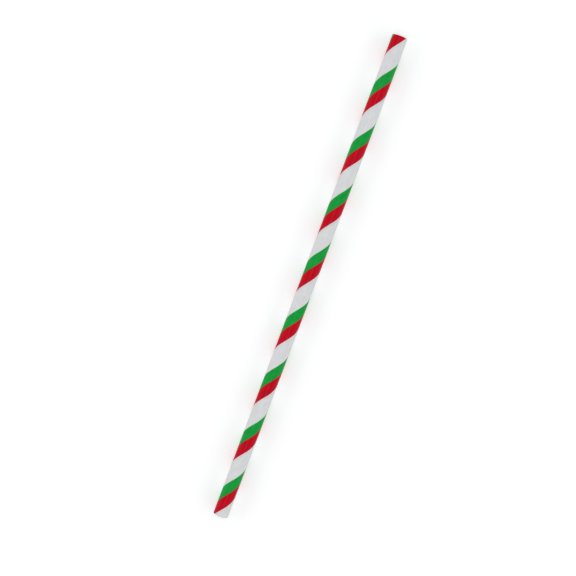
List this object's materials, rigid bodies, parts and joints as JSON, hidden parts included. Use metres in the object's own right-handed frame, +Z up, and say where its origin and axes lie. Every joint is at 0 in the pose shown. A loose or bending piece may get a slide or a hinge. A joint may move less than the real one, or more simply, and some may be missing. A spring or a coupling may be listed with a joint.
{
  "type": "paper drinking straw",
  "caption": "Paper drinking straw: a thin wound tube, open at both ends, printed with green and red stripes that climb around it on white.",
  "frame": {"origin": "middle of the straw's length, on the line along which it lies on the ground", "axes": "+X along the straw's axis, +Z up from the ground, +Y across the straw"},
  "size_m": [0.197, 0.006, 0.006],
  "materials": {
    "printed_paper": "satin printed paper, white with a green and a red stripe"
  },
  "bodies": {
    "root": {"straw": "printed_paper"}
  },
  "joints": []
}
